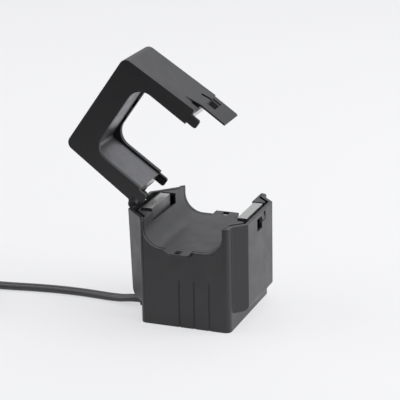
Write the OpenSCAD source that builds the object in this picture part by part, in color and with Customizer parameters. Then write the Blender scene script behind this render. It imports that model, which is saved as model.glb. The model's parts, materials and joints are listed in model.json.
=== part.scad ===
// Split-core current transformer with a hinged upper half.
// The lower housing carries a saddle-shaped trough, and the lid is modelled standing open.
// Frame: the origin lies on the ground below the middle of the cable window,
// +X points to the latch, -Y to the front and +Z up. All sizes are in millimetres.

/* [Cable window] */
// Width between the side walls of the trough
trough_w = 34.2; // [30:0.2:38]
// Depth of the trough below the rim
trough_depth = 11.4; // [10:0.2:15]
// Radius of the bottom corners of the trough
trough_r = 8; // [4:0.5:8]
// Width of the window in the lid
window_w = 35.4; // [32:0.2:38]
// Height of the window in the lid, from the ends of its legs
window_h = 24.8; // [20:0.2:32]
// Radius of the upper corners of the window
window_r = 6.8; // [3:0.2:9]

/* [Core] */
// Thickness of the core leg, across the window
core_t = 4.1; // [3:0.1:6]
// Width of the core, along the cable
core_w = 19.8; // [14:0.2:22]
// Step from the window's edge in the lid down to the core
core_recess = 0.9; // [0.5:0.1:2]
// Height of the lower poles above the rim
pole_rise = 0.45; // [0:0.05:0.6]
// Air gap between the closed poles
pole_gap = 0.1; // [0.05:0.05:0.3]

/* [Housing] */
// Width of the box under the pods
box_w = 39.2; // [39:0.2:44]
// Offset of the box from the middle of the window, towards the latch
box_shift = 0.5; // [0:0.1:1]
// Depth of the box, along the cable
box_d = 48; // [44:0.5:60]
// Height of the rim above the ground
rim_z = 44.5; // [42:0.5:56]
// Radius of the upright corners of the box
box_r = 2.5; // [1:0.5:4]
// Thickness of the floor and of the front and rear walls
wall = 1.6; // [1.2:0.1:2.4]
// Thickness of the pods' walls
pod_wall = 1.5; // [1.2:0.1:2.2]
// Height of the underside of the pods
pod_z = 7.4; // [6:0.2:10]
// Half length of the flat side of the latch pod
pod_flat = 15; // [13:0.5:17]
// Room between the core leg and the latch pod's wall
leg_room = 0.9; // [0.4:0.1:1.4]
// Extra reach of the hinge pod beyond the latch pod
hinge_reach = 3.4; // [2.6:0.2:5]
// Inward draft of the hinge pod's side, over its height
hinge_draft = 1.6; // [0:0.2:2.4]

/* [Trough cover] */
// Thickness of the trough's wall
trough_t = 0.9; // [0.7:0.1:1.2]
// Thickness of the lands beside the poles
land_t = 1.2; // [0.8:0.1:2]
// Gap between the lands and the housing
land_gap = 1.2; // [0.2:0.1:1.6]
// Width of the pole openings, along the cable
pole_open = 24.8; // [23:0.2:26]
// Depth of the notches in the trough's walls
notch_depth = 4.4; // [3:0.2:5.5]
// Thickness of the cable-tie lugs
lug_t = 1.3; // [1:0.1:2]
// Reach of the cable-tie lugs beyond the walls
lug_reach = 4; // [3:0.2:6]
// Width of the cable-tie slots
slot_w = 2.7; // [2:0.1:4]
// Length of the cable-tie slots
slot_l = 3.6; // [2.6:0.1:5]

/* [Lid] */
// Depth of the lid, along the cable
lid_d = 24.2; // [23.6:0.1:26]
// Thickness of the lid's front and rear plates
plate_t = 2; // [1.4:0.1:2]
// Room above the core for its spring and pad
spring_room = 4.4; // [3.4:0.2:6]
// Thickness of the lid's roof
roof_t = 1.5; // [1.2:0.1:2.4]
// Inward draft of each side of the lid, over its height
lid_draft = 1.4; // [0:0.1:1.6]
// Radius of the lid's outer corners
lid_r = 3.2; // [2:0.2:5]
// Seam between the closed lid and the rim
seam = 0.7; // [0.4:0.1:1]
// Reach of the locating tabs below the lid's legs
tab_reach = 4.5; // [3:0.1:5]
// Thickness of the locating tabs
tab_t = 1.3; // [0.8:0.1:1.4]

/* [Latch] */
// Width of the latch tongue, along the cable
tongue_w = 15; // [12:0.2:20]
// Reach of the latch tongue below the lid's legs
tongue_reach = 12.6; // [10:0.2:16]
// Thickness of the latch tongue
tongue_t = 0.9; // [0.7:0.1:1.3]
// Running gap between the tongue and the pod
tongue_gap = 0.2; // [0.15:0.05:0.4]
// Depth of the relief under the tongue
relief_depth = 0.6; // [0.3:0.1:0.8]

/* [Hinge] */
// Angle at which the lid stands open
open_angle = 54.5; // [0:0.5:90]
// Outside radius of the knuckles
knuckle_r = 1.9; // [1.6:0.1:2.2]
// Radius of the hinge pin
pin_r = 0.75; // [0.6:0.05:0.9]
// Radial running clearance of the lid on its pin
pin_play = 0.05; // [0.02:0.01:0.1]
// Half length of the hinge, over its knuckles
hinge_half = 6.5; // [5.5:0.1:8]
// Half length of the middle knuckle
middle_half = 3.1; // [2:0.1:4]
// Gap between moving faces of the hinge
hinge_gap = 0.2; // [0.15:0.05:0.4]
// Distance of the hinge axis from the closed lid's leg
hinge_out = 3.82; // [3.4:0.02:4.6]

/* [Lead] */
// Width of the flat twin lead
lead_w = 5; // [4:0.2:6]
// Thickness of the flat twin lead
lead_h = 2.5; // [2:0.1:3]
// Length of the stripped wire at each end
strip_len = 6; // [4:0.5:10]

/* [Hidden] */
$fn = 48;
eps = 0.01;
over = 1;

// Core, measured from the middle of the window
core_in = window_w / 2 + core_recess;
core_out = core_in + core_t;
core_z = pod_z + pod_wall;
yoke_top = core_z + core_t;
pole_z = rim_z + pole_rise;
core_outer_r = 3;
core_inner_r = 1.5;

// Plan of the housing: one flare line at 45 degrees serves both pods
pod_x = core_out + leg_room + pod_wall;
hinge_x = pod_x + hinge_reach;
flare = pod_flat + pod_x;
cell_fit = 0.15;
cell_x = trough_w / 2 + trough_t + cell_fit;
front_y = box_d / 2;
box_left = box_shift - box_w / 2;
pod_bottom_r = 2;
hinge_bottom_r = 3.5;

// Trough cover
trough_z = rim_z - trough_depth;
cover_y = front_y - wall - 0.3;
lug_root = 12;
lug_edge = 8;
lug_left = -8;
rear_lug_w = 10.4;
slot_x = -1.2;
rear_slot_x = 0.4;
slot_inset = 0.8;
lug_play = 0.15;
hinge_strip = 0.6;

// Lid, in its closed place
lid_z = rim_z + seam;
lid_half = pod_x;
lid_h = window_h + core_recess + core_t + spring_room + roof_t;
lid_core_z = lid_z + window_h + core_recess;
pole_v = pole_z + pole_gap;
cavity_half = core_out + 0.15;
plate_y = lid_d / 2 - plate_t;
tab_in = core_in + 0.1;
tab_out = core_out;

// Latch
tongue_in = pod_x + tongue_gap;
tongue_out = tongue_in + tongue_t;
tongue_root = 8;
tongue_y = [1.1 - tongue_w / 2, 1.1 + tongue_w / 2];
hole_y = [-1.7, 5.8];
hole_v = [-5, -0.8];
catch_y = [2.2, 5.2];
catch_z = [rim_z - 4.2, rim_z - 1.4];
relief_y = [1.5, 6.2];
relief_z = [rim_z - 4.6, rim_z - 1];
slot_y = [-3.9, 1.9];
slot_z = [rim_z - 7, rim_z - 1.9];

// Hinge
axis_x = -(lid_half + hinge_out);
axis_z = rim_z + 0.05;
pocket_r = knuckle_r + 0.35;

// Bobbin and winding round the yoke
bobbin_gap = 0.15;
bobbin_t = 0.8;
bobbin_half = min(box_w / 2 - 3, 16.4);
flange_t = 1.2;
flange_lip = 4.2;
yoke_mid = core_z + core_t / 2;
tube_y = core_w / 2 + bobbin_gap;
tube_z = core_t / 2 + bobbin_gap;
coil_build = 3.2;
tape_t = 0.25;
rail_y = [-(tube_y + bobbin_t + flange_lip + 1.8), -(tube_y + bobbin_t + flange_lip)];
rail_z = [yoke_mid - tube_z - bobbin_t - flange_lip, yoke_mid - tube_z - bobbin_t - flange_lip + 2];

// Circuit board, standing in two ribs behind the front wall
board_t = 1.6;
board_half = 13.6;
board_top = 18;
board_front = -(front_y - wall - 2.8);
rib_half = board_half + 0.8;
pin_x = 10;
terminal_r = 0.4;

// Lead: height of its exit, and the route of its free stretch, as points on the lead's middle line
exit_y = -6.5;
exit_z = 2.9;
relief_end = box_left - 6.2;
inner_end = -cell_x + 1.5;
lead_route = [
    [-25.3, -6.5, 2.9], [-26.5, -6.5, 2.9], [-29, -6.5, 2.8], [-32, -6.3, 2.4], [-35, -5.9, 1.8],
    [-38, -5.5, 1.5], [-42, -5.1, 1.3], [-48, -4.6, 1.25], [-56, -4.3, 1.25], [-66, -4.7, 1.25],
    [-76, -5.8, 1.25], [-86, -7.4, 1.25], [-94, -8.7, 1.4], [-102, -9.4, 1.8]];
tail_route = [[-101, -64.4, 7.1], [-100, -64.4, 7.1], [-97, -64.4, 6.3], [-92, -64.4, 3.8],
    [-88, -64.4, 2.1], [-85, -64.4, 1.4], [-82.5, -64.4, 1.25], [-81, -64.4, 1.25]];
coil_mid = [-118, -37];
coil_lane = 5.2;
coil_layer = 2.55;
coil_r = 24.8;
coil_z = 0.75;
coil_layers = 3;
tie_t = 0.65;
tie_play = 0.1;
tie_w = 3.2;

// Rectangle standing on y = 0 whose two upper corners are rounded
module round_top(w, h, r) {
    translate([-w / 2, 0]) square([w, h - r]);
    translate([-w / 2 + r, 0]) square([w - 2 * r, h]);
    for (s = [-1, 1]) translate([s * (w / 2 - r), h - r]) circle(r);
}

// Rectangle with all four corners rounded, centred
module round_rect(w, h, r) {
    square([w, h - 2 * r], center = true);
    square([w - 2 * r, h], center = true);
    for (x = [-1, 1], y = [-1, 1]) translate([x * (w / 2 - r), y * (h / 2 - r)]) circle(r);
}

// Stretch a drawing of the XZ plane along Y, from y0 to y1
module along_y(y0, y1) {
    translate([0, y1, 0]) rotate([90, 0, 0]) linear_extrude(y1 - y0) children();
}

// Stretch a drawing of the YZ plane along X, from x0 to x1
module along_x(x0, x1) {
    translate([x0, 0, 0]) rotate([90, 0, 90]) linear_extrude(x1 - x0) children();
}

// Plain box between two corners
module block(a, b) {
    translate(a) cube(b - a);
}

// Round bar between two points of the XZ plane's normal: centre x, z, from y0 to y1
module bar_y(x, z, r, y0, y1) {
    translate([x, y1, z]) rotate([90, 0, 0]) cylinder(r = r, h = y1 - y0);
}

// Tube of section sec (points across, up) swept along the points p
function unit(v) = v / norm(v);
function tangent(p, i) = unit(p[min(i + 1, len(p) - 1)] - p[max(i - 1, 0)]);
function side_of(t) = norm([t.x, t.y]) > eps ? unit([t.y, -t.x, 0]) : [-1, 0, 0];
function ring(p, i, sec) = let (t = tangent(p, i), s = side_of(t), u = cross(s, t))
    [for (q = sec) p[i] + q.x * s + q.y * u];
module sweep(p, sec) {
    n = len(sec);
    m = len(p);
    rings = [for (i = [0:m - 1]) each ring(p, i, sec)];
    sides = [for (i = [0:m - 2], j = [0:n - 1]) each [
        [i * n + j, i * n + (j + 1) % n, (i + 1) * n + j],
        [i * n + (j + 1) % n, (i + 1) * n + (j + 1) % n, (i + 1) * n + j]]];
    first = [[for (j = [n - 1:-1:0]) j]];
    last = [[for (j = [0:n - 1]) (m - 1) * n + j]];
    polyhedron(rings, concat(sides, first, last));
}
function oval(w, h, n) = [for (k = [0:n - 1]) let (a = 360 * (k + 0.5) / n)
    [w / 2 * cos(a) / cos(180 / n), h / 2 * sin(a) / cos(180 / n)]];

// Plan of the pods, drawn in by an amount measured across their walls
module pod_plan(inset) {
    f = flare - inset * sqrt(2);
    right = pod_x - inset;
    left = hinge_x - inset;
    polygon([[-left, f - left], [0, f], [right, f - right],
        [right, -(f - right)], [0, -f], [-left, -(f - left)]]);
}

// The part of a pod plan that stays inside the depth of the box
module pod_plan_cut(inset, y) {
    intersection() {
        pod_plan(inset);
        square([4 * hinge_x, 2 * y], center = true);
    }
}

// Front view of the pods, with the hinge side's draft and both rounded lower corners
module pod_front() {
    w = pod_bottom_r;
    r = hinge_bottom_r;
    low = hinge_x - hinge_draft;
    polygon([[-hinge_x, rim_z], [-low, pod_z + r], [-low + r, pod_z + r], [-low + r, pod_z],
        [pod_x - w, pod_z], [pod_x - w, pod_z + w], [pod_x, pod_z + w], [pod_x, rim_z]]);
    translate([-low + r, pod_z + r]) circle(r);
    translate([pod_x - w, pod_z + w]) circle(w);
}

// Front view of the trough's opening, drawn out by an amount and reaching above the rim
module trough_front(grow) {
    w = trough_w + 2 * grow;
    r = trough_r + grow;
    z = trough_z - grow;
    h = rim_z + over - z;
    translate([0, rim_z + over]) mirror([0, 1]) round_top(w, h, r);
}

// Lower housing: box with two pods, grooved front, saddle cuts, catch and middle knuckle
module housing() {
    color("#3a3a3c") difference() {
        union() {
            translate([box_shift, 0, 0]) linear_extrude(rim_z) round_rect(box_w, box_d, box_r);
            intersection() {
                along_y(-front_y, front_y) pod_front();
                linear_extrude(rim_z) pod_plan_cut(0, front_y - box_r);
            }
            hinge_boss();
        }
        housing_cell();
        along_y(-front_y - over, front_y + over) trough_front(0);
        lug_notches();
        front_grooves();
        latch_cuts();
        hinge_cuts();
        lead_hole();
    }
    color("#3a3a3c") catch_ramp();
    color("#3a3a3c") board_ribs();
}

// Hollow of the housing: the box down to its floor and the pods down to theirs
module housing_cell() {
    translate([0, 0, wall]) linear_extrude(rim_z)
        square([2 * cell_x, 2 * (front_y - wall)], center = true);
    intersection() {
        translate([0, 0, core_z]) linear_extrude(rim_z) pod_plan_cut(pod_wall, front_y - wall);
        along_y(-front_y, front_y) polygon([
            [-hinge_x + pod_wall, rim_z + over], [-hinge_x + hinge_draft + pod_wall, core_z],
            [pod_x, core_z], [pod_x, rim_z + over]]);
    }
}

// Shallow upright grooves in the lower front
module front_grooves() {
    groove_w = 0.5;
    groove_depth = 0.4;
    groove_top = 20.5;
    groove_pitch = 6.5;
    groove_first = -1.8;
    for (i = [0:2]) translate([groove_first + i * groove_pitch, -front_y, 0]) {
        block([-groove_w / 2, -over, -over], [groove_w / 2, groove_depth, groove_top]);
    }
}

// Notches in the front and rear walls that carry the lugs of the trough cover
module lug_notches() {
    z = trough_z - lug_t;
    block([lug_left - lug_play, -front_y - over, z],
        [lug_left + lug_root + lug_play, -front_y + wall + over, rim_z]);
    block([rear_slot_x - rear_lug_w / 2 - lug_play, front_y - wall - over, z],
        [rear_slot_x + rear_lug_w / 2 + lug_play, front_y + over, rim_z]);
}

// Relief and slot in the latch pod's side
module latch_cuts() {
    block([pod_x - relief_depth, relief_y[0], relief_z[0]], [pod_x + over, relief_y[1], relief_z[1]]);
    block([pod_x - pod_wall - over, slot_y[0], slot_z[0]], [pod_x + over, slot_y[1], slot_z[1]]);
}

// Wedge on the relief's floor that the tongue's hole snaps over
module catch_ramp() {
    root = pod_x - relief_depth;
    tip = pod_x + tongue_gap / 2;
    along_y(catch_y[0], catch_y[1]) polygon([[root - 0.3, catch_z[0] - 0.2], [root, catch_z[0]],
        [tip, catch_z[0]], [tip, catch_z[0] + 0.8], [root, catch_z[1]], [root - 0.3, catch_z[1]]]);
}

// Middle knuckle with its gusset down the outside of the hinge pod
module hinge_boss() {
    bar_y(axis_x, axis_z, knuckle_r, -middle_half, middle_half);
    along_y(-middle_half, middle_half) polygon([[axis_x - knuckle_r, axis_z], [axis_x, axis_z],
        [-hinge_x + pod_wall, axis_z], [-hinge_x + pod_wall, axis_z - 8],
        [-hinge_x, axis_z - 8]]);
}

// Bore of the middle knuckle and the pockets that the lid's knuckles turn in
module hinge_cuts() {
    bar_y(axis_x, axis_z, pin_r, -hinge_half - over, hinge_half + over);
    for (s = [0, 1]) mirror([0, s, 0]) {
        bar_y(axis_x, axis_z, pocket_r, middle_half, hinge_half + hinge_gap);
        block([axis_x - pocket_r, middle_half, axis_z],
            [axis_x + pocket_r, hinge_half + hinge_gap, axis_z + over]);
    }
}

// Hole for the strain relief, low in the wall on the hinge side
module lead_hole() {
    along_x(box_left - over, -cell_x + 1) translate([exit_y, exit_z])
        round_rect(lead_w + 1.8, lead_h + 1.7, 1.4);
    block([-cell_x - over, exit_y - lead_w / 2 - 1.3, 0.8],
        [-cell_x + 1.4, exit_y + lead_w / 2 + 1.3, wall + over]);
}

// Two grooved ribs on the floor that hold the circuit board
module board_ribs() {
    for (s = [0, 1]) mirror([s, 0, 0]) difference() {
        block([rib_half - 1.6, -front_y + wall, wall],
            [rib_half, board_front + board_t + 0.8, board_top + 1]);
        block([rib_half - 1.6 - over, board_front - 0.1, wall],
            [board_half + 0.1, board_front + board_t + 0.1, board_top + 2]);
    }
}

// Saddle-shaped cover: trough, lands beside the poles and the cable-tie lugs
module trough_cover() {
    color("#5f5f62") difference() {
        union() {
            intersection() {
                along_y(-cover_y, cover_y) trough_front(trough_t);
                block([-cell_x, -front_y, 0], [cell_x, front_y, rim_z]);
            }
            translate([0, 0, rim_z - land_t]) linear_extrude(land_t) intersection() {
                pod_plan_cut(pod_wall + land_gap, cover_y);
                translate([-hinge_x + pod_wall + 1.9 + land_gap, -front_y]) square([2 * hinge_x, box_d]);
            }
            front_lug();
            rear_lug();
        }
        along_y(-front_y - lug_reach - over, front_y + lug_reach + over) trough_front(0);
        pole_windows();
    }
}

// Openings for the poles and the lid's tabs, with notches in the trough's walls
module pole_windows() {
    for (s = [0, 1]) mirror([s, 0, 0])
        block([trough_w / 2 - over, -pole_open / 2, rim_z - notch_depth],
            [core_out + hinge_strip, pole_open / 2, rim_z + over]);
    block([core_out, -pole_open / 2, rim_z - land_t - over], [pod_x, pole_open / 2, rim_z + over]);
}

// Front lug: a tongue of the trough's floor, flared on its left, with a slot for a cable tie
module front_lug() {
    edge = -front_y - lug_reach;
    right = lug_left + lug_root;
    translate([0, 0, trough_z - lug_t]) linear_extrude(lug_t) difference() {
        polygon([[lug_left, -cover_y + over], [lug_left, -front_y - 1], [right - lug_edge, edge],
            [right, edge], [right, -cover_y + over]]);
        translate([slot_x - slot_w / 2, edge + slot_inset]) square([slot_w, slot_l]);
    }
}

// Rear lug: plain, with the same slot
module rear_lug() {
    edge = front_y + lug_reach;
    translate([0, 0, trough_z - lug_t]) linear_extrude(lug_t) difference() {
        translate([rear_slot_x - rear_lug_w / 2, cover_y - over]) square([rear_lug_w, edge - cover_y + over]);
        translate([rear_slot_x - slot_w / 2, edge - slot_inset - slot_l]) square([slot_w, slot_l]);
    }
}

// Lower half of the core: a U with ground poles
module lower_core() {
    color("#8d8d8f") along_y(-core_w / 2, core_w / 2) difference() {
        translate([0, pole_z]) mirror([0, 1]) round_top(2 * core_out, pole_z - core_z, core_outer_r);
        translate([0, pole_z + over]) mirror([0, 1])
            round_top(2 * core_in, pole_z + over - yoke_top, core_inner_r);
    }
}

// One half of the split bobbin: half a tube with a flange at each end
module bobbin_half_shell() {
    out_y = tube_y + bobbin_t;
    out_z = tube_z + bobbin_t;
    lip_y = out_y + flange_lip;
    lip_z = out_z + flange_lip;
    difference() {
        union() {
            along_x(-bobbin_half, bobbin_half) translate([-out_y / 2, yoke_mid])
                square([out_y, 2 * out_z], center = true);
            for (x = [-bobbin_half, bobbin_half - flange_t]) along_x(x, x + flange_t)
                translate([-lip_y / 2, yoke_mid]) square([lip_y, 2 * lip_z], center = true);
        }
        block([-bobbin_half - over, -tube_y, yoke_mid - tube_z],
            [bobbin_half + over, over, yoke_mid + tube_z]);
    }
}

// Front half, with the rail that holds the terminal pins
module bobbin_front() {
    color("#d9d4c4") difference() {
        union() {
            bobbin_half_shell();
            block([-bobbin_half, rail_y[0], rail_z[0]], [bobbin_half, rail_y[1], rail_z[1]]);
        }
        for (x = [-pin_x, pin_x]) bar_y(x, rail_z[0] + 1, terminal_r, rail_y[0] - over, rail_y[1] + over);
    }
}

// Rear half
module bobbin_rear() {
    color("#d9d4c4") mirror([0, 1, 0]) bobbin_half_shell();
}

// Ring of rounded section round the bobbin, from one offset to another
module coil_ring(half, inner, outer, r) {
    w = 2 * (tube_y + bobbin_t);
    h = 2 * (tube_z + bobbin_t);
    along_x(-half, half) translate([0, yoke_mid]) difference() {
        round_rect(w + 2 * outer, h + 2 * outer, r);
        if (inner > 0) round_rect(w + 2 * inner, h + 2 * inner, r - outer + inner);
        else square([w, h], center = true);
    }
}

// Copper winding
module winding() {
    color("#b5622f") coil_ring(bobbin_half - flange_t, 0, coil_build, 2.4);
}

// Polyester tape round the winding
module winding_tape() {
    color("#d8b13a") coil_ring(bobbin_half - flange_t - 0.6, coil_build, coil_build + tape_t, 2.4 + tape_t);
}

// Two terminal pins through the rail and the board
module terminal_pins() {
    color("#c9c9c4") for (x = [-pin_x, pin_x])
        bar_y(x, rail_z[0] + 1, terminal_r, board_front - 1, rail_y[1]);
}

// Circuit board with holes for the terminal pins
module circuit_board() {
    color("#2f6b3c") difference() {
        block([-board_half, board_front, wall], [board_half, board_front + board_t, board_top]);
        for (x = [-pin_x, pin_x])
            bar_y(x, rail_z[0] + 1, terminal_r, board_front - over, board_front + board_t + over);
    }
}

// Axial part lying on the board: barrel along X with its leads bent into the board
module axial_part(x, z, body_r, body_half, lead_half) {
    y = board_front - body_r;
    translate([x - body_half, y, z]) rotate([0, 90, 0]) cylinder(r = body_r, h = 2 * body_half);
    for (s = [-1, 1]) {
        translate([x + s * body_half, y, z]) rotate([0, s * 90, 0])
            cylinder(r = 0.25, h = lead_half - body_half);
        bar_y(x + s * lead_half, z, 0.25, y - 0.25, board_front);
    }
}

// Burden resistor
module burden_resistor() {
    color("#5b8fb0") axial_part(-3, 14, 1.1, 3, 5);
}

// Clamp diode
module clamp_diode() {
    color("#26262a") axial_part(4, 9.5, 1.1, 2.1, 4);
}

// Winding ends: each leaves the coil at the front and ends at its pin
module coil_end(x) {
    face = -(tube_y + bobbin_t + coil_build + tape_t);
    y = (rail_y[0] + board_front + board_t) / 2;
    top = rail_z[0] + 1 + terminal_r;
    sweep([[x, face, yoke_mid], [x, face - 0.3, yoke_mid], [x, face - 1, yoke_mid - 1.6],
        [x, rail_y[0] + 0.4, rail_z[1] + 1], [x, y, rail_z[1]], [x, y, top]], oval(0.4, 0.4, 8));
}
module start_wire() {
    color("#b5622f") coil_end(-pin_x);
}
module finish_wire() {
    color("#b5622f") coil_end(pin_x);
}

// Outline of the flat lead, across and up
module lead_outline() {
    round_rect(lead_w, lead_h, lead_h / 2 - eps);
}

// Sheathed end of the lead inside the strain relief
module lead_inner() {
    color("#232325") along_x(relief_end, inner_end) translate([exit_y, exit_z]) lead_outline();
}

// Two insulated wires from the sheath, under the winding, to the board
module lead_wires() {
    y = board_front + board_t;
    rear = exit_y + lead_w / 4;
    front = exit_y - lead_w / 4;
    color("#8a2a24") {
        sweep([[inner_end, front, 2.7], [inner_end + 1, front, 2.7], [-14, -8.2, 2.6], [-12.3, -9.4, 2.5],
            [-11.3, -11.2, 2.5], [-11, -13.2, 2.5], [-11, -15.6, 2.5], [-11, y, 2.5]], oval(1.2, 1.2, 8));
        sweep([[inner_end, rear, 2.7], [inner_end + 1, rear, 2.7], [-13, -5.5, 2.6], [-10.6, -6.5, 2.5],
            [-9, -8.4, 2.5], [-8.3, -10.8, 2.5], [-8.2, -13.2, 2.5], [-8.2, y, 2.5]], oval(1.2, 1.2, 8));
    }
}

// Strain relief: inner flange, neck in the wall and a tapered nose
module strain_relief() {
    w = lead_w + 1.8;
    h = lead_h + 1.7;
    color("#2b2b2d") translate([0, exit_y, exit_z]) difference() {
        union() {
            along_x(relief_end, -cell_x) round_rect(w, h, 1.4);
            along_x(-cell_x, -cell_x + 1.2) square([w + 0.6, h - 0.1], center = true);
        }
        along_x(relief_end - over, -cell_x + 2) lead_outline();
    }
}

// Hinge pin
module hinge_pin() {
    color("#b9bbbe") bar_y(axis_x, axis_z, pin_r, -hinge_half, hinge_half);
}

// Turn children from the closed place of the lid to the open one
module opened() {
    translate([axis_x, 0, axis_z]) rotate([0, -open_angle, 0]) translate([-axis_x, 0, -axis_z]) children();
}

// Front view of the lid's outside, with drafted sides and rounded upper corners
module lid_front() {
    slope = atan(lid_draft / lid_h);
    zc = lid_h - lid_r;
    xc = lid_half - lid_draft * zc / lid_h - lid_r / cos(slope);
    tx = xc + lid_r * cos(slope);
    tz = zc + lid_r * sin(slope);
    translate([0, lid_z]) {
        polygon([[-lid_half, 0], [lid_half, 0], [tx, tz], [xc, zc],
            [xc, lid_h], [-xc, lid_h], [-xc, zc], [-tx, tz]]);
        for (s = [-1, 1]) translate([s * xc, zc]) circle(lid_r);
    }
}

// Front view of the lid's window, reaching below the legs
module window_front() {
    translate([0, lid_z - over]) round_top(window_w, window_h + over, window_r);
}

// Front view of the space between the lid's plates
module lid_cell_front() {
    translate([0, lid_z - over]) round_top(2 * cavity_half, lid_h - roof_t + over, core_outer_r);
}

// Locating tabs on the legs' ends
module lid_tabs() {
    for (x = [0, 1], y = [0, 1]) mirror([x, 0, 0]) mirror([0, y, 0])
        along_y(-lid_d / 2, -lid_d / 2 + tab_t) {
            translate([tab_in, lid_z - tab_reach + 1]) square([tab_out - tab_in, tab_reach]);
            translate([tab_in + 1, lid_z - tab_reach]) square([tab_out - tab_in - 2, 2]);
            for (x = [tab_in + 1, tab_out - 1]) translate([x, lid_z - tab_reach + 1]) circle(1);
        }
}

// Latch tongue, thickened where it leaves the leg
module tongue() {
    root_x = lid_half - lid_draft * tongue_root / lid_h;
    along_y(tongue_y[0], tongue_y[1]) polygon([
        [tongue_in, lid_z - tongue_reach], [tongue_out - 0.3, lid_z - tongue_reach],
        [tongue_out, lid_z - tongue_reach + 0.8], [tongue_out, lid_z],
        [root_x, lid_z + tongue_root], [cavity_half + 0.6, lid_z + tongue_root],
        [cavity_half + 0.6, lid_z + 1.4], [tongue_in, lid_z + 0.5]]);
}

// Hole and slits of the tongue
module tongue_cuts() {
    slit = 1.4;
    x0 = cavity_half - over;
    x1 = tongue_out + over;
    block([x0, hole_y[0], lid_z + hole_v[0]], [x1, hole_y[1], lid_z + hole_v[1]]);
    block([x0, hole_y[1] - slit - 1.6, lid_z + hole_v[1] - eps], [x1, hole_y[1] - 1.6, lid_z + 3.9]);
    block([x0, tongue_y[0] - slit, lid_z - over], [x1, tongue_y[0], lid_z + 3.6]);
}

// Outer knuckles with the arms that carry them on the leg
module lid_knuckles() {
    y0 = middle_half + hinge_gap;
    leg_x = -lid_half + 0.4;
    for (s = [0, 1]) mirror([0, s, 0]) {
        bar_y(axis_x, axis_z, knuckle_r, y0, hinge_half);
        along_y(y0, hinge_half) polygon([[axis_x, axis_z], [axis_x - 1, axis_z + 1.4],
            [axis_x + 0.4, axis_z + knuckle_r + 0.4], [leg_x, lid_z + 4.6], [leg_x, lid_z],
            [axis_x + 1.5, lid_z]]);
    }
}

// Small ribs on the plates that the core snaps past
module core_ribs() {
    for (x = [-1, 1], y = [0, 1]) mirror([0, y, 0])
        block([x * 5 - 3, -plate_y - 0.2, lid_core_z - 0.7], [x * 5 + 3, -plate_y + 0.5, lid_core_z - 0.1]);
}

// Lid: two plates joined by an outer wall, with tabs, tongue and knuckles
module lid_shell() {
    color("#2b2b2d") opened() difference() {
        union() {
            difference() {
                along_y(-lid_d / 2, lid_d / 2) lid_front();
                along_y(-lid_d / 2 - over, lid_d / 2 + over) window_front();
                along_y(-plate_y, plate_y) lid_cell_front();
            }
            lid_tabs();
            tongue();
            lid_knuckles();
            core_ribs();
        }
        tongue_cuts();
        bar_y(axis_x, axis_z, pin_r + pin_play, -hinge_half - over, hinge_half + over);
    }
}

// Upper half of the core
module upper_core() {
    color("#77777a") opened() along_y(-core_w / 2, core_w / 2) difference() {
        translate([0, pole_v]) round_top(2 * core_out, lid_core_z + core_t - pole_v, core_outer_r);
        translate([0, pole_v - over]) round_top(2 * core_in, lid_core_z - pole_v + over, core_inner_r);
    }
}

// Foam pad on the yoke
module core_pad() {
    pad_t = 0.8;
    z = lid_core_z + core_t;
    color("#1d1d1f") opened()
        block([-core_in + 1, -core_w / 2 + 1, z], [core_in - 1, core_w / 2 - 1, z + pad_t]);
}

// Bowed leaf spring between the pad and the roof
module core_spring() {
    leaf_t = 0.4;
    low = lid_core_z + core_t + 0.8;
    high = lid_z + lid_h - roof_t;
    rise = high - low - leaf_t;
    half = core_in - 3;
    n = 12;
    line = [for (i = [-n:n]) [half * i / n, low + rise * (1 + cos(180 * i / n)) / 2]];
    color("#c4c6c8") opened() along_y(-core_w / 2 + 3, core_w / 2 - 3)
        polygon(concat(line, [for (i = [len(line) - 1:-1:0]) line[i] + [0, leaf_t]]));
}

// Free stretch of the lead, from the strain relief to the coil
module lead() {
    color("#232325") sweep(lead_route, oval(lead_w, lead_h, 8));
}

// Outside of the coiled stretch
module lead_coil() {
    w = coil_lane + lead_w;
    h = (coil_layers - 1) * coil_layer + lead_h;
    color("#232325") translate([coil_mid.x, coil_mid.y, coil_z]) rotate_extrude()
        translate([coil_r, h / 2]) round_rect(w, h, 1);
}

// Tie round the coil
module coil_tie() {
    w = coil_lane + lead_w;
    h = (coil_layers - 1) * coil_layer + lead_h;
    color("#e6e6e4") translate([coil_mid.x + coil_r, coil_mid.y, coil_z + h / 2]) rotate([90, 0, 0])
        linear_extrude(tie_w, center = true) difference() {
            round_rect(w + 2 * (tie_play + tie_t), h + 2 * (tie_play + tie_t), 1 + tie_play + tie_t);
            round_rect(w + 2 * tie_play, h + 2 * tie_play, 1 + tie_play);
        }
}

// Loose end of the lead, from the top of the coil down to the ground beside it
module lead_tail() {
    color("#232325") sweep(tail_route, oval(lead_w, lead_h, 8));
}

// The two wires at the far end, stripped and tinned
module lead_ends() {
    end = tail_route[len(tail_route) - 1];
    color("#c9c9c4") for (s = [-1, 1])
        translate(end + [0, s * lead_w / 4, 0]) rotate([0, 90, 0]) cylinder(r = 0.5, h = strip_len);
}

housing();
trough_cover();
lower_core();
bobbin_front();
bobbin_rear();
winding();
winding_tape();
terminal_pins();
circuit_board();
burden_resistor();
clamp_diode();
start_wire();
finish_wire();
lead_inner();
lead_wires();
strain_relief();
hinge_pin();
lid_shell();
upper_core();
core_pad();
core_spring();
lead();
lead_coil();
coil_tie();
lead_tail();
lead_ends();
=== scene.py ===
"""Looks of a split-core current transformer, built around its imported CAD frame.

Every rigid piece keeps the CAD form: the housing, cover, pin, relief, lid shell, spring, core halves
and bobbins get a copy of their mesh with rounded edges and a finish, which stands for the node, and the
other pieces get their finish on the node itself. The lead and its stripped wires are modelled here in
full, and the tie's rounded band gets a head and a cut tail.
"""

import json
import logging
import math
from dataclasses import dataclass
from enum import Enum
from typing import Any, Sequence

import bmesh
import bpy
from mathutils import Matrix, Vector


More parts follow.
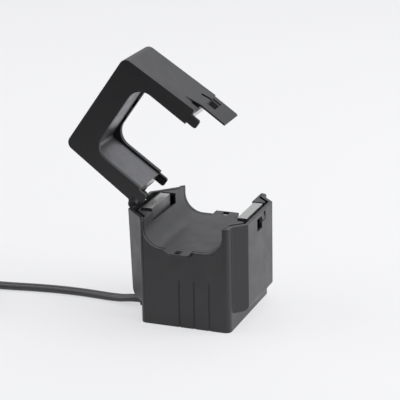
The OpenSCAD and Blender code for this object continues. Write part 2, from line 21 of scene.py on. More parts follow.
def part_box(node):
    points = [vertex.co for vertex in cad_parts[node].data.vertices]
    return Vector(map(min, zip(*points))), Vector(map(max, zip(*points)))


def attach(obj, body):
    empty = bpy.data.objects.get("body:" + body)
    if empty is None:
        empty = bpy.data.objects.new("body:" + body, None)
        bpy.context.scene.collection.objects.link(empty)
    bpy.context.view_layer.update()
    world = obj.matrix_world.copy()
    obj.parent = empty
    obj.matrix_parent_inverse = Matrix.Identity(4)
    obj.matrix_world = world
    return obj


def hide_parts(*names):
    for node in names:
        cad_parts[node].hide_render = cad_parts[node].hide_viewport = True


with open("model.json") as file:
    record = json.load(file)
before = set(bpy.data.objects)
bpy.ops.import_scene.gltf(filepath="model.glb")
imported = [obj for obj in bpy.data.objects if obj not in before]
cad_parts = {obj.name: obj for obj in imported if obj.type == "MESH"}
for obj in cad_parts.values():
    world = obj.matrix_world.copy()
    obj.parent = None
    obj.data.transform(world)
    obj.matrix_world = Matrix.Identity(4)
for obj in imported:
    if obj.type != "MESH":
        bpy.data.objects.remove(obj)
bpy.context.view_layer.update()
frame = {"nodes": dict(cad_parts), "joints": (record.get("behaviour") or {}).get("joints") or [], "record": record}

MM = 0.001
# Scratches repeat this much less often along their length than across it.
LINE_SQUEEZE = 0.03
ROOT = "root"
BODIES = frame["record"]["behaviour"]["bodies"]
log = logging.getLogger("current_transformer")


def linear(code: str) -> tuple[float, float, float, float]:
    """Turns an sRGB hex colour into linear values.

    Args:
        code: Colour such as "#3a3a3c".

    Returns:
        Red, green, blue and an alpha of 1, in linear light.
    """
    parts = [int(code[i:i + 2], 16) / 255 for i in (1, 3, 5)]
    red, green, blue = (c / 12.92 if c <= 0.04045 else ((c + 0.055) / 1.055) ** 2.4 for c in parts)
    return red, green, blue, 1.0


def add_node(tree: bpy.types.NodeTree, kind: str, settings: dict[str, Any] | None = None,
             inputs: dict[str | int, Any] | None = None) -> bpy.types.Node:
    """Adds a node with its settings and links.

    Args:
        tree: Node tree that takes the node.
        kind: Type of node.
        settings: Values of the node's own properties.
        inputs: For each input, by name or number, the socket to link or the value to set.

    Returns:
        The new node.
    """
    node = tree.nodes.new(kind)
    for name, value in (settings or {}).items():
        setattr(node, name, value)
    for name, value in (inputs or {}).items():
        if isinstance(value, bpy.types.NodeSocket):
            tree.links.new(value, node.inputs[name])
        else:
            node.inputs[name].default_value = value
    return node


class Relief(Enum):
    """Patterns that a way of making leaves on a surface."""

    GRAIN = "fine pits of a spark-eroded mould"
    BRUSHED = "long scratches of rolling, grinding or drawing"
    LAYERS = "edges of thin strips or turns lying side by side"
    CELLS = "closed cells of foam"
    WEAVE = "glass cloth under lacquer"


class Axis(Enum):
    """Directions of the frame, as places in a coordinate."""

    X = 0
    Y = 1
    Z = 2


@dataclass(frozen=True)
class Finish:
    """How one real material looks, with its pattern at its real size.

    Fields: colour and shade are the two tones of its mottling, spread is how far the roughness
    strays, pitch_mm and depth_mm size the pattern, and along is the way its lines run.
    """

    name: str
    colour: str
    shade: str
    roughness: float
    relief: Relief = Relief.GRAIN
    pitch_mm: float = 0.35
    depth_mm: float = 0.01
    along: Axis = Axis.Y
    ior: float = 1.5
    metallic: float = 0.0
    coat: float = 0.0
    coat_roughness: float = 0.12
    spread: float = 0.05
    mottle_mm: float = 7.0

    def material(self) -> bpy.types.Material:
        """Makes the material, or finds it if another piece has it already.

        Returns:
            The material.
        """
        known = bpy.data.materials.get(self.name)
        if known:
            return known
        made = bpy.data.materials.new(self.name)
        made.use_nodes = True
        tree = made.node_tree
        tree.nodes.clear()
        place = add_node(tree, "ShaderNodeTexCoord").outputs["Object"]
        mottle = add_node(tree, "ShaderNodeTexNoise", None, {
            "Vector": place, "Scale": 1 / (self.mottle_mm * MM), "Detail": 3.0}).outputs["Fac"]
        rough = add_node(tree, "ShaderNodeMapRange", None, {
            "Value": mottle, "From Min": 0.3, "From Max": 0.7,
            "To Min": self.roughness - self.spread, "To Max": self.roughness + self.spread})
        height = self.height(tree, place)
        bump = add_node(tree, "ShaderNodeBump", None, {
            "Height": height, "Distance": self.depth_mm * MM, "Strength": 1.0})
        shader = add_node(tree, "ShaderNodeBsdfPrincipled", None, {
            "Base Color": self.tone(tree, place, mottle), "Roughness": rough.outputs["Result"],
            "Normal": bump.outputs["Normal"], "Metallic": self.metallic, "IOR": self.ior,
            "Coat Weight": self.coat, "Coat Roughness": self.coat_roughness})
        add_node(tree, "ShaderNodeOutputMaterial", None, {"Surface": shader.outputs["BSDF"]})
        return made

    def tone(self, tree: bpy.types.NodeTree, place: bpy.types.NodeSocket,
             mottle: bpy.types.NodeSocket) -> bpy.types.NodeSocket:
        """Mixes the two tones by the mottling.

        Args:
            tree: The material's nodes.
            place: Coordinates on the piece.
            mottle: The mottling's factor.

        Returns:
            The socket that holds the colour.
        """
        mix = add_node(tree, "ShaderNodeMix", {"data_type": "RGBA"}, {
            "Factor": mottle, 6: linear(self.colour), 7: linear(self.shade)})
        return mix.outputs[2]

    def height(self, tree: bpy.types.NodeTree, place: bpy.types.NodeSocket) -> bpy.types.NodeSocket:
        """Draws the pattern that the way of making left.

        Args:
            tree: The material's nodes.
            place: Coordinates on the piece.

        Returns:
            The socket that holds the height.
        """
        fine = 1 / (self.pitch_mm * MM)
        if self.relief is Relief.GRAIN:
            grain = add_node(tree, "ShaderNodeTexNoise", None, {"Vector": place, "Scale": fine, "Detail": 2.0})
            return grain.outputs["Fac"]
        if self.relief is Relief.CELLS:
            cells = add_node(tree, "ShaderNodeTexVoronoi", None, {"Vector": place, "Scale": fine})
            return cells.outputs["Distance"]
        if self.relief is Relief.BRUSHED:
            stretch = [1.0, 1.0, 1.0]
            stretch[self.along.value] = LINE_SQUEEZE
            drawn = add_node(tree, "ShaderNodeMapping", None, {"Vector": place, "Scale": stretch})
            lines = add_node(tree, "ShaderNodeTexNoise", None, {
                "Vector": drawn.outputs["Vector"], "Scale": fine, "Detail": 2.0})
            return lines.outputs["Fac"]
        bands = [self.bands(tree, place, axis) for axis in (Axis.X, Axis.Z)]
        if self.relief is Relief.LAYERS:
            return bands[0] if self.along is not Axis.X else bands[1]
        cloth = add_node(tree, "ShaderNodeMath", {"operation": "MULTIPLY"}, {0: bands[0], 1: bands[1]})
        return cloth.outputs["Value"]

    def bands(self, tree: bpy.types.NodeTree, place: bpy.types.NodeSocket, across: Axis) -> bpy.types.NodeSocket:
        """Draws even bands, one for each layer.

        Args:
            tree: The material's nodes.
            place: Coordinates on the piece.
            across: The way from one band to the next.

        Returns:
            The socket that holds the height.
        """
        wave = add_node(tree, "ShaderNodeTexWave", {"bands_direction": across.name}, {
            "Vector": place, "Scale": math.pi / 10 / (self.pitch_mm * MM)})
        return wave.outputs["Fac"]


@dataclass(frozen=True)
class BandedFinish(Finish):
    """A finish with rings of other colours printed round a small part that lies along X.

    Fields: bands holds, for each ring, its place along X and its width in millimetres and its colour.
    """

    bands_mm: tuple[tuple[float, float, str], ...] = ()

    def tone(self, tree: bpy.types.NodeTree, place: bpy.types.NodeSocket,
             mottle: bpy.types.NodeSocket) -> bpy.types.NodeSocket:
        """Lays the rings over the two tones.

        Args:
            tree: The material's nodes.
            place: Coordinates on the piece.
            mottle: The mottling's factor.

        Returns:
            The socket that holds the colour.
        """
        colour = super().tone(tree, place, mottle)
        x = add_node(tree, "ShaderNodeSeparateXYZ", None, {"Vector": place}).outputs["X"]
        for middle, width, code in self.bands_mm:
            inside = add_node(tree, "ShaderNodeMath", {"operation": "COMPARE"}, {
                0: x, 1: middle * MM, 2: width / 2 * MM}).outputs["Value"]
            mix = add_node(tree, "ShaderNodeMix", {"data_type": "RGBA"}, {
                "Factor": inside, 6: colour, 7: linear(code)})
            colour = mix.outputs[2]
        return colour


# Injection-moulded ABS, its mould spark-eroded: a fine even grain that dulls the reflections.
# The real grain is 0.05 mm, too fine to show, so it is drawn at 0.35 mm.
HOUSING_ABS = Finish("abs_moulded_housing", "#28282a", "#242426", 0.36, ior=1.54, depth_mm=0.006)
# The lid's tone is set a shade darker than the housing's.
LID_ABS = Finish("abs_moulded_lid", "#212123", "#1d1d1f", 0.42, ior=1.54, depth_mm=0.006)
# The cover's tone is a shade lighter than the housing's ABS: painted fill light for its shaded faces in the trough.
COVER_ABS_PAINTED_FILL = Finish("abs_moulded_cover_painted_fill", "#2d2d2f", "#29292b", 0.45, ior=1.54, depth_mm=0.006)
# Cold-rolled strip, wound and coated with resin: a soft grey sheen with lines along the strip.
CORE_STRIP = Finish("silicon_steel_strip_coated", "#77777a", "#68686b", 0.38, Relief.BRUSHED, 0.3, 0.006,
                    Axis.Y, metallic=0.85, mottle_mm=4)
# The strip's ends, cut and ground flat: bright metal with the edge of each layer.
# The real layers are 0.03 mm, too fine to show, so they are drawn at 0.4 mm.
CORE_GROUND = Finish("silicon_steel_ground", "#c6c6c4", "#b4b4b3", 0.3, Relief.LAYERS, 0.4, 0.008,
                     Axis.Y, metallic=1.0, mottle_mm=2)
# Drawn steel wire with a black oxide skin: dark metal with scratches along it.
PIN_STEEL = Finish("steel_blackened_pin", "#3a3a3c", "#303032", 0.35, Relief.BRUSHED, 0.2, 0.003, Axis.Y,
                   metallic=0.9)
# Bright strip steel, rolled and tempered.
SPRING_STEEL = Finish("spring_steel_rolled", "#b9babd", "#a7a8ab", 0.3, Relief.BRUSHED, 0.3, 0.003, Axis.Y,
                      metallic=1.0)
# Injection-moulded nylon in its natural colour: off-white and waxy.
BOBBIN_NYLON = Finish("nylon_moulded_bobbin", "#d9d4c4", "#cdc7b4", 0.45, ior=1.53)
TIE_NYLON = Finish("nylon_moulded_tie", "#dededa", "#d2d2cc", 0.35, ior=1.53, pitch_mm=0.5)
# Enamelled copper wire: red-brown metal under a clear glossy coat, one ridge for each turn.
COPPER = Finish("copper_enamelled_wound", "#b5562a", "#9c4520", 0.3, Relief.LAYERS, 0.35, 0.05, Axis.Y,
                metallic=1.0, coat=0.6)
# Polyester film tape: glossy amber with faint stretch lines.
TAPE = Finish("polyester_film_tape", "#d6a22b", "#c8921f", 0.22, Relief.BRUSHED, 0.8, 0.004, Axis.Z, coat=0.5)
# Copper wire dipped in tin: pale, soft and slightly uneven.
TINNED = Finish("copper_tinned", "#c9c9c2", "#b5b5ae", 0.3, Relief.GRAIN, 0.3, 0.004, metallic=1.0, mottle_mm=1)
# Woven glass and epoxy under green lacquer.
LAMINATE = Finish("glass_epoxy_lacquered", "#1f5a32", "#1a4f2b", 0.3, Relief.WEAVE, 0.6, 0.006, ior=1.55)
# Film resistor dipped in pale blue lacquer, with five printed rings.
RESISTOR = BandedFinish("lacquer_dipped_resistor", "#6f9fbd", "#6494b2", 0.3, depth_mm=0.004,
                        bands_mm=((-5.3, 0.45, "#6b3a1c"), (-4.2, 0.45, "#1c1c1e"), (-3.1, 0.45, "#1c1c1e"),
                                  (-2.0, 0.45, "#c9a13c"), (-0.8, 0.45, "#6b3a1c")))
# Transfer-moulded black epoxy with a silver ring at one end.
DIODE = BandedFinish("epoxy_moulded_diode", "#222224", "#1d1d1f", 0.5, depth_mm=0.01,
                     bands_mm=((5.3, 0.5, "#b8b8b6"),))
# Extruded PVC sheath: satin, with faint draw lines along the lead.
LEAD_PVC = Finish("pvc_extruded_sheath", "#4c4c4e", "#424244", 0.33, Relief.GRAIN, 0.5, 0.008, ior=1.53)
WIRE_PVC = Finish("pvc_extruded_wire", "#8a2a24", "#7b241f", 0.38, Relief.GRAIN, 0.4, 0.005, ior=1.53)
# Moulded PVC rubber: darker and duller than the sheath.
RELIEF_RUBBER = Finish("rubber_moulded_relief", "#262628", "#212123", 0.55, Relief.GRAIN, 0.4, 0.012, ior=1.52)
# Closed-cell foam, cut from sheet.
FOAM = Finish("foam_closed_cell", "#1d1d1f", "#17171a", 0.85, Relief.CELLS, 0.5, 0.15)

NODE_FINISHES: dict[str, Finish] = {
    "housing": HOUSING_ABS, "trough_cover": COVER_ABS_PAINTED_FILL, "lower_core": CORE_STRIP, "upper_core": CORE_STRIP,
    "bobbin_front": BOBBIN_NYLON, "bobbin_rear": BOBBIN_NYLON, "winding": COPPER, "winding_tape": TAPE,
    "terminal_pins": TINNED, "circuit_board": LAMINATE, "burden_resistor": RESISTOR, "clamp_diode": DIODE,
    "start_wire": COPPER, "finish_wire": COPPER, "lead_inner": LEAD_PVC, "lead_wires": WIRE_PVC,
    "strain_relief": RELIEF_RUBBER, "hinge_pin": PIN_STEEL, "lid_shell": LID_ABS, "core_pad": FOAM,
    "core_spring": SPRING_STEEL}


def body_of(node: str) -> str:
    """Finds the body that a CAD node belongs to.

    Args:
        node: Name of the node.

    Returns:
        Name of the body.
    """
    return next(body for body, members in BODIES.items() if node in members)


def dress(node: str, finish: Finish) -> None:
    """Gives a CAD node its finish.

    Args:
        node: Name of the node.
        finish: Its finish.
    """
    mesh = frame["nodes"][node].data
    mesh.materials.clear()
    mesh.materials.append(finish.material())
    log.info("%s: %s", node, finish.name)


def new_piece(name: str, mesh: bpy.types.Mesh, finish: Finish) -> bpy.types.Object:
    """Puts a mesh in the scene with its finish.

    Args:
        name: Name of the piece.
        mesh: Its mesh.
        finish: Its finish.

    Returns:
        The new object.
    """
    piece = bpy.data.objects.new(name, mesh)
    bpy.context.scene.collection.objects.link(piece)
    mesh.materials.clear()
    mesh.materials.append(finish.material())
    log.info("%s: %d faces, %s", name, len(mesh.polygons), finish.name)
    return piece


def rounded(node: str, finish: Finish, radius_mm: float, sharp_deg: float = 35.0) -> bpy.types.Object:
    """Copies a CAD node, rounds its sharp edges and lets the copy stand for it.

    Args:
        node: Name of the node.
        finish: Its finish.
        radius_mm: Width of the rounding.
        sharp_deg: Least angle between two faces at which their edge is rounded.

    Returns:
        The copy.
    """
    mesh = frame["nodes"][node].data.copy()
    shape = bmesh.new()
    shape.from_mesh(mesh)
    bmesh.ops.remove_doubles(shape, verts=shape.verts, dist=0.001 * MM)
    bmesh.ops.dissolve_limit(shape, angle_limit=math.radians(0.5), verts=shape.verts, edges=shape.edges)
    shape.to_mesh(mesh)
    shape.free()
    if "custom_normal" in mesh.attributes:
        mesh.attributes.remove(mesh.attributes["custom_normal"])
    mesh.shade_smooth()
    piece = new_piece(node + "_rounded", mesh, finish)
    bevel = piece.modifiers.new("edge_rounding", "BEVEL")
    bevel.width = radius_mm * MM
    bevel.segments = 2
    bevel.limit_method = "ANGLE"
    bevel.angle_limit = math.radians(sharp_deg)
    bevel.use_clamp_overlap = False
    bevel.harden_normals = True
    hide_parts(node)
    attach(piece, body_of(node))
    return piece


def smooth_route(points: Sequence[Vector], step: float) -> list[Vector]:
    """Draws one smooth curve through chosen points, as a Catmull-Rom spline.

    Args:
        points: The points, in order.
        step: Distance between the points of the result.

    Returns:
        Points along the curve, both ends included.
    """
    padded = [2 * points[0] - points[1], *points, 2 * points[-1] - points[-2]]
    made = [points[0]]
    for before, a, b, after in zip(padded, padded[1:], padded[2:], padded[3:]):
        count = max(1, round((b - a).length / step))
        for i in range(1, count + 1):
            t = i / count
            made.append(0.5 * (2 * a + (b - before) * t + (2 * before - 5 * a + 4 * b - after) * t ** 2
                               + (3 * a - before - 3 * b + after) * t ** 3))
    return made


def swept(points: Sequence[Vector], section: Sequence[tuple[float, float]], up: Vector) -> bmesh.types.BMesh:
    """Sweeps a section along points, with its second side kept upward, and closes both ends.

    Args:
        points: The middle line.
        section: Points of the section, across and up.
        up: The way that counts as up.

    Returns:
        The closed tube.
    """
    shape = bmesh.new()
    rings = []
    for i, point in enumerate(points):
        ahead = (points[min(i + 1, len(points) - 1)] - points[max(i - 1, 0)]).normalized()
        side = ahead.cross(up).normalized()
        rise = side.cross(ahead)
        rings.append([shape.verts.new(point + side * across + rise * high) for across, high in section])
    for ring, following in zip(rings, rings[1:]):
        for j in range(len(section)):
            k = (j + 1) % len(section)
            shape.faces.new((ring[j], ring[k], following[k], following[j]))
    shape.faces.new(reversed(rings[0]))
    shape.faces.new(rings[-1])
    bmesh.ops.recalc_face_normals(shape, faces=shape.faces)
    return shape


def to_mesh(name: str, shape: bmesh.types.BMesh, sharp_deg: float = 40.0) -> bpy.types.Mesh:
    """Turns a shape into a mesh, smooth apart from its sharp edges.

    Args:
        name: Name of the mesh.
        shape: The shape, which is freed.
        sharp_deg: Least angle of a sharp edge.

    Returns:
        The mesh.
    """
    mesh = bpy.data.meshes.new(name)
    shape.to_mesh(mesh)
    shape.free()
    mesh.shade_smooth()
    mesh.set_sharp_from_angle(angle=math.radians(sharp_deg))
    return mesh


def smoothstep(t: float) -> float:
    """Eases a share from 0 to 1.

    Args:
        t: The share, which may lie outside 0 to 1.

    Returns:
        The eased share, kept between 0 and 1.
    """
    t = min(max(t, 0.0), 1.0)
    return t * t * (3 - 2 * t)


@dataclass
class Body:
    """Lower half: housing, trough cover, hinge pin and strain relief."""

    wall_edge_mm: float = 0.22
    cover_edge_mm: float = 0.14
    pin_edge_mm: float = 0.15
    relief_edge_mm: float = 0.25

    def build(self) -> None:
        """Rounds and dresses the pieces that show."""
        rounded("housing", HOUSING_ABS, self.wall_edge_mm)
        rounded("trough_cover", COVER_ABS_PAINTED_FILL, self.cover_edge_mm)
        rounded("hinge_pin", PIN_STEEL, self.pin_edge_mm)
        rounded("strain_relief", RELIEF_RUBBER, self.relief_edge_mm)


@dataclass
class Lid:
    """Upper half: moulded shell, foam pad and leaf spring."""

    plate_edge_mm: float = 0.2
    spring_edge_mm: float = 0.08

    def build(self) -> None:
        """Rounds the shell and the spring and dresses the pad."""
        rounded("lid_shell", LID_ABS, self.plate_edge_mm)
        rounded("core_spring", SPRING_STEEL, self.spring_edge_mm)
        dress("core_pad", FOAM)


@dataclass
class Core:
    """Both halves of the core, coated outside and ground bright at their poles."""

    edge_mm: float = 0.1
    flat: float = 0.05

    def build(self) -> None:
        """Rounds both halves and gives their poles the ground finish."""
        hinge = frame["joints"][0]
        angle = math.radians(-hinge["range_deg"][0])
        ways = {"lower_core": Vector((0, 0, 1)), "upper_core": Vector((math.sin(angle), 0, -math.cos(angle)))}
        for node, way in ways.items():
            piece = rounded(node, CORE_STRIP, self.edge_mm)
            piece.data.materials.append(CORE_GROUND.material())
            end = max(vertex.co.dot(way) for vertex in piece.data.vertices)
            for face in piece.data.polygons:
                if end - face.center.dot(way) < self.flat * MM:
                    face.material_index = 1


@dataclass
class Winding:
    """Split bobbin with its winding, tape and terminal pins."""

    bobbin_edge_mm: float = 0.12

    def build(self) -> None:
        """Rounds the bobbin and dresses what lies on it."""
        for node in ("bobbin_front", "bobbin_rear"):
            rounded(node, BOBBIN_NYLON, self.bobbin_edge_mm)
        for node in ("winding", "winding_tape", "terminal_pins", "start_wire", "finish_wire"):
            dress(node, NODE_FINISHES[node])


@dataclass
class Board:
    """Circuit board with its burden resistor, clamp diode and the lead's wires."""

    def build(self) -> None:
        """Dresses the board and what is soldered to it."""
        for node in ("circuit_board", "burden_resistor", "clamp_diode", "lead_inner", "lead_wires"):
            dress(node, NODE_FINISHES[node])


@dataclass
class Lead:
    """Flat twin lead: a free stretch, a coil of laid turns, a tail and two stripped wires.

    Lengths are in millimetres. The route and the coil repeat the CAD model's values. The moves between
    lanes and the rises between layers each hold their start and their length, in turns.
    """

    length: float = 1000.0
    width: float = 5.0
    height: float = 2.5
    web: float = 1.0
    strip: float = 6.0
    middle: tuple[float, float] = (-118.0, -37.0)
    radius: float = 24.8
    lane: float = 5.2
    layer: float = 2.55
    rest: float = 0.75
    step: float = 1.5
    turns: float = 5.5
    per_turn: int = 48
    moves_in: tuple[tuple[float, float], ...] = ((0.895, 0.1), (4.333, 0.12))
    moves_out: tuple[tuple[float, float], ...] = ((2.61, 0.12), (5.18, 0.15))
    rises: tuple[tuple[float, float], ...] = ((1.73, 0.15), (3.458, 0.148), (5.04, 0.14))
    route: tuple[tuple[float, float, float], ...] = (
        (-25.3, -6.5, 2.9), (-26.5, -6.5, 2.9), (-29, -6.5, 2.8), (-32, -6.3, 2.4), (-35, -5.9, 1.8),
        (-38, -5.5, 1.5), (-42, -5.1, 1.3), (-48, -4.6, 1.25), (-56, -4.3, 1.25), (-66, -4.7, 1.25),
        (-76, -5.8, 1.25), (-86, -7.4, 1.25), (-94, -8.7, 1.4), (-102, -9.4, 1.8))
    tail: tuple[tuple[float, float, float], ...] = (
        (-112, -64.4, 9.6), (-106, -64.4, 9.3), (-100, -64.4, 7.9), (-95, -64.4, 5.4), (-91, -64.4, 3.2),
        (-87.5, -64.4, 1.8), (-84.5, -64.4, 1.3), (-82.5, -64.4, 1.25), (-81, -64.4, 1.25))

    def build(self) -> None:
        path = self.path()
        piece = new_piece("twin_lead", to_mesh("twin_lead", swept(path, self.section(), Vector((0, 0, 1)))),
                          LEAD_PVC)
        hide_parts("lead", "lead_coil", "lead_tail")
        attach(piece, ROOT)
        wires = self.wires()
        tie = self.tie()
        length = sum((b - a).length for a, b in zip(path, path[1:]))
        log.info("lead: %.3f m along its middle", length)

    def section(self) -> list[tuple[float, float]]:
        """Outline of the twin lead: two round lobes joined by a thin web.

        Returns:
            Points across and up, in metres.
        """
        lobe = self.height / 2
        offset = self.width / 2 - lobe
        opening = math.pi - math.asin(self.web / 2 / lobe)
        count = 11
        arc = [opening * (2 * i / (count - 1) - 1) for i in range(count)]
        right = [(offset + lobe * math.cos(a), lobe * math.sin(a)) for a in arc]
        left = [(-x, -z) for x, z in right]
        return [(x * MM, z * MM) for x, z in right + left]

    def lane_at(self, turn: float) -> tuple[float, float]:
        """Place of the lead in the coil after some turns.

        The first layer winds inwards, the second outwards and the third inwards again, and the last
        half turn passes out over the others. Each move to the next lane or layer ends where the turn
        that lies there already makes its own, so that no turn runs into another.

        Args:
            turn: Turns since the lead met the coil.

        Returns:
            Radius and height, in millimetres.
        """
        inwards, outwards, rises = (sum(smoothstep((turn - start) / span) for start, span in moves)
                                    for moves in (self.moves_in, self.moves_out, self.rises))
        radius = self.radius + self.lane * (0.5 - inwards + outwards)
        return radius, self.rest + self.height / 2 + self.layer * rises

    def path(self) -> list[Vector]:
        """Whole middle line of the lead: the route, the turns from the coil's top, and the tail.

        Returns:
            Points in metres, from the strain relief to the stripped end.
        """
        centre = Vector((*self.middle, 0))
        points = [Vector(p) for p in self.route]
        for i in range(round(self.turns * self.per_turn) + 1):
            radius, high = self.lane_at(i / self.per_turn)
            angle = math.tau * (0.25 + i / self.per_turn)
            points.append(centre + Vector((radius * math.cos(angle), radius * math.sin(angle), high)))
        points += [Vector(p) for p in self.tail]
        return [p * MM for p in smooth_route(points, self.step)]

    def wires(self) -> bpy.types.Object:
        """Stripped ends: in each lobe one strand with six others laid round it.

        Returns:
            The piece.
        """
        strand, lay_length, count = 0.17, 5.0, 24
        ring = [(strand * MM * math.cos(math.tau * k / 8), strand * MM * math.sin(math.tau * k / 8)) for k in range(8)]
        end = Vector(self.tail[-1])
        bundle = bmesh.new()
        for side in (-1, 1):
            for k in range(7):
                points = []
                for i in range(count + 1):
                    along = self.strip * i / count
                    turn = math.tau * (along / lay_length + k / 6)
                    away = 2 * strand if k < 6 else 0.0
                    points.append((end + Vector((along, side * self.width / 4 + away * math.cos(turn),
                                                 away * math.sin(turn)))) * MM)
                single = swept(points, ring, Vector((0, 0, 1)))
                mesh = bpy.data.meshes.new("strand")
                single.to_mesh(mesh)
                single.free()
                bundle.from_mesh(mesh)
                bpy.data.meshes.remove(mesh)
        piece = new_piece("stripped_wires", to_mesh("stripped_wires", bundle), TINNED)
        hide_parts("lead_ends")
        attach(piece, ROOT)
        return piece

    def tie(self) -> bpy.types.Object:
        """Nylon tie round the coil, with its head on top and a cut tail.

        Returns:
            The piece.
        """
        piece = rounded("coil_tie", TIE_NYLON, 0.15)
        x = self.middle[0] + self.radius
        y = self.middle[1]
        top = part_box("coil_tie")[1].z / MM
        shape = bmesh.new()
        for low, high in (((x - 2.6, y - 2.4, top - 0.2), (x + 2.2, y + 2.4, top + 3.0)),
                          ((x + 2.2, y - 1.3, top + 1.2), (x + 6.5, y + 1.3, top + 2.0))):
            size = Vector(high) - Vector(low)
            cube = bmesh.ops.create_cube(shape, size=1.0)
            bmesh.ops.scale(shape, vec=size * MM, verts=cube["verts"])
            bmesh.ops.translate(shape, vec=(Vector(low) + size / 2) * MM, verts=cube["verts"])
        head = new_piece("coil_tie_head", to_mesh("coil_tie_head", shape), TIE_NYLON)
        bevel = head.modifiers.new("edge_rounding", "BEVEL")
        bevel.width = 0.35 * MM
        bevel.segments = 3
        head.parent = piece
        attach(head, ROOT)
        return piece


@dataclass
class Lamp:
    """One soft square lamp that points at the object."""

    name: str
    place: tuple[float, float, float]
    size: float
    power: float
    colour: str = "#ffffff"

    def build(self, target: Vector) -> None:
        """Hangs the lamp and turns it to a point.

        Args:
            target: The point it lights.
        """
        light = bpy.data.lights.new(self.name, "AREA")
        light.shape = "SQUARE"
        light.size = self.size
        light.energy = self.power
        light.color = linear(self.colour)[:3]
        lamp = bpy.data.objects.new(self.name, light)
        bpy.context.scene.collection.objects.link(lamp)
        lamp.location = self.place
        lamp.rotation_euler = (target - lamp.location).to_track_quat("-Z", "Y").to_euler()
        log.info("lamp %s: %.1f W", self.name, self.power)


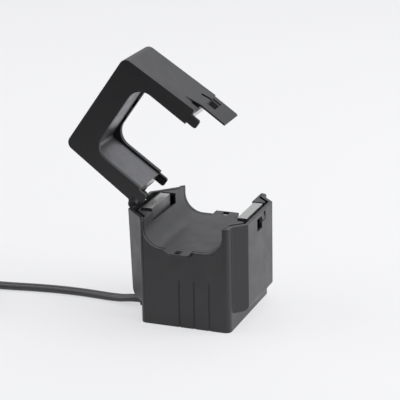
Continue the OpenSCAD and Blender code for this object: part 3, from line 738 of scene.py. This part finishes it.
@dataclass
class Studio:
    """Pale floor, soft lamps, an even sky and the camera."""

    floor_colour: str = "#dadadc"
    floor_half: float = 3.0
    floor_front: float = 0.16
    sky_colour: str = "#f4f5f7"
    sky_dark: float = 0.2
    sky_bright: float = 0.75
    backdrop_colour: str = "#f5f5f7"
    backdrop_share: float = 0.65
    sky_side: tuple[float, float, float] = (0.5, 0.7, 0.55)
    azimuth_deg: float = 21.42
    elevation_deg: float = 18.77
    roll_deg: float = -1.10
    distance_mm: float = 701.8
    lens_mm: float = 153.2
    right_mm: float = -1.73
    up_mm: float = 6.97
    aim_mm: tuple[float, float, float] = (0.5, 0.0, 40.0)
    lamps: tuple[Lamp, ...] = (
        Lamp("key_right", (0.9, 0.15, 0.55), 0.9, 11.0),
        Lamp("fill_left", (-0.8, -0.2, 0.6), 0.8, 4.0),
        Lamp("top_rear", (-0.05, 0.5, 0.9), 0.8, 3.0))

    def build(self) -> None:
        """Sets up everything that isn't the object."""
        bpy.context.scene.view_settings.view_transform = "Standard"
        target = Vector(self.aim_mm) * MM
        for lamp in self.lamps:
            lamp.build(target)
        self.sky()
        self.floor()
        self.camera(target)

    def sky(self) -> None:
        """Pale surround, bright on the right and behind and dim towards the camera."""
        world = bpy.data.worlds.new("studio_white")
        world.use_nodes = True
        tree = world.node_tree
        tree.nodes.clear()
        towards = add_node(tree, "ShaderNodeTexCoord").outputs["Generated"]
        nearness = add_node(tree, "ShaderNodeVectorMath", {"operation": "DOT_PRODUCT"}, {
            0: towards, 1: Vector(self.sky_side).normalized()}).outputs["Value"]
        strength = add_node(tree, "ShaderNodeMapRange", {"interpolation_type": "SMOOTHSTEP"}, {
            "Value": nearness, "From Min": -0.35, "From Max": 0.75,
            "To Min": self.sky_dark, "To Max": self.sky_bright}).outputs["Result"]
        seen = add_node(tree, "ShaderNodeLightPath").outputs["Is Camera Ray"]
        strength = add_node(tree, "ShaderNodeMix", {"data_type": "FLOAT"}, {
            "Factor": seen, 2: strength, 3: 0.9}).outputs[0]
        light = add_node(tree, "ShaderNodeBackground", None, {
            "Color": linear(self.sky_colour), "Strength": strength})
        add_node(tree, "ShaderNodeOutputWorld", None, {"Surface": light.outputs["Background"]})
        bpy.context.scene.world = world

    def floor(self) -> None:
        """Seamless sheet of matt paper under the object."""
        half = self.floor_half
        mesh = bpy.data.meshes.new("studio_floor")
        front = -self.floor_front
        mesh.from_pydata([(-half, front, 0), (half, front, 0), (half, half, 0), (-half, half, 0)], [], [(0, 1, 2, 3)])
        paper = Finish("paper_matt_seamless", self.floor_colour, self.floor_colour, 0.85, pitch_mm=1.5,
                       depth_mm=0.01, spread=0.02)
        self.lift(paper.material().node_tree)
        new_piece("studio_floor", mesh, paper)

    def lift(self, tree: bpy.types.NodeTree) -> None:
        """Shows the paper nearly white to the camera and in reflections, with a softer shadow.

        Args:
            tree: The paper's nodes.
        """
        rays = add_node(tree, "ShaderNodeLightPath").outputs
        seen = rays["Is Camera Ray"]
        for kind in ("Is Glossy Ray", "Is Transmission Ray"):
            seen = add_node(tree, "ShaderNodeMath", {"operation": "MAXIMUM"}, {
                0: seen, 1: rays[kind]}).outputs["Value"]
        share = add_node(tree, "ShaderNodeMath", {"operation": "MULTIPLY"}, {
            0: seen, 1: self.backdrop_share}).outputs["Value"]
        white = add_node(tree, "ShaderNodeEmission", None, {
            "Color": linear(self.backdrop_colour), "Strength": 1.0}).outputs["Emission"]
        output = next(node for node in tree.nodes if node.type == "OUTPUT_MATERIAL")
        lit = output.inputs["Surface"].links[0].from_socket
        mixed = add_node(tree, "ShaderNodeMixShader", None, {0: share, 1: lit, 2: white}).outputs["Shader"]
        tree.links.new(mixed, output.inputs["Surface"])

    def camera(self, target: Vector) -> None:
        """Camera at the given angle, moved a little so that the object sits where it should.

        Args:
            target: The point that the camera looks past.
        """
        azimuth, elevation, roll = (math.radians(a) for a in (self.azimuth_deg, self.elevation_deg, self.roll_deg))
        right = Vector((math.cos(azimuth), math.sin(azimuth), 0))
        ahead = Vector((-math.sin(azimuth) * math.cos(elevation), math.cos(azimuth) * math.cos(elevation),
                        -math.sin(elevation)))
        up = right.cross(ahead)
        across = math.cos(roll) * right + math.sin(roll) * up
        rise = math.cos(roll) * up - math.sin(roll) * right
        place = target - ahead * self.distance_mm * MM + (across * self.right_mm + rise * self.up_mm) * MM
        lens = bpy.data.cameras.new("camera")
        lens.lens = self.lens_mm
        lens.clip_start = 0.05
        camera = bpy.data.objects.new("camera", lens)
        camera.matrix_world = Matrix((across, rise, -ahead)).transposed().to_4x4()
        camera.location = place
        bpy.context.scene.collection.objects.link(camera)
        bpy.context.scene.camera = camera


def main() -> None:
    """Builds the studio and every sub-assembly in order."""
    logging.basicConfig(level=logging.INFO, format="%(name)s: %(message)s")
    Studio().build()
    for assembly in (Body(), Lid(), Core(), Winding(), Board(), Lead()):
        assembly.build()


if __name__ == "__main__":
    main()
